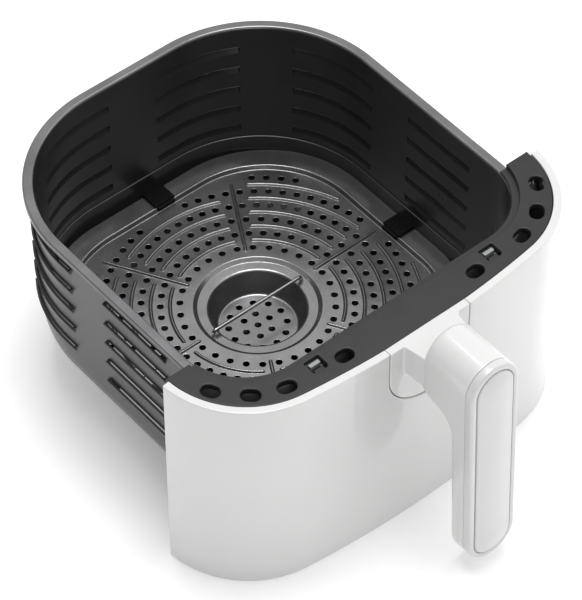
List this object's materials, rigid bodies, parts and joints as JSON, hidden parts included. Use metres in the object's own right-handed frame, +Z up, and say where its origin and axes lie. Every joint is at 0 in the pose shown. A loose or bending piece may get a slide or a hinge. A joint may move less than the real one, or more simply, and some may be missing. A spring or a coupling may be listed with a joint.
{
  "type": "air fryer basket drawer",
  "caption": "Pull-out frying basket: a louvred non-stick pan with a lift-out perforated crisper tray, a plastic collar, a curved front panel and a hanging grip handle.",
  "frame": {"origin": "centre of the flat underside of the pan", "axes": "+Z up out of the open pan, -Y towards the front panel and its grip, +X to the right of someone facing the grip"},
  "size_m": [0.2788, 0.3349, 0.166],
  "materials": {
    "nonstick_pan": "satin dark non-stick coating with a fine grain",
    "nonstick_tray": "satin grey non-stick coating",
    "bright_wire": "bright drawn wire",
    "black_silicone": "matt silicone",
    "dark_plastic": "fine-textured dark grey plastic",
    "white_plastic": "soft gloss white plastic",
    "cover_plastic": "satin white plastic",
    "grey_plastic": "matt grey plastic",
    "galvanised_sheet": "galvanised sheet",
    "brass": "turned brass",
    "screw_steel": "zinc-plated steel"
  },
  "bodies": {
    "root": {"pan": "nonstick_pan", "collar": "dark_plastic", "fascia": "white_plastic", "inner_panel": "grey_plastic", "heat_shield": "galvanised_sheet", "pan_bracket": "galvanised_sheet", "handle_body": "white_plastic", "handle_cover": "cover_plastic", "handle_core": "galvanised_sheet", "handle_inserts": "brass", "handle_screws": "screw_steel", "core_screws": "screw_steel", "collar_screws": "screw_steel", "panel_screws": "screw_steel"},
    "tray": {"crisper_tray": "nonstick_tray", "grab_wire": "bright_wire", "bumper_front": "black_silicone", "bumper_rear": "black_silicone", "bumper_left": "black_silicone", "bumper_right": "black_silicone"}
  },
  "joints": [
    {"name": "tray_lift", "type": "slide", "parent": "root", "child": "tray", "axis": [0, 0, 1], "range_m": [0, 0.14]}
  ]
}
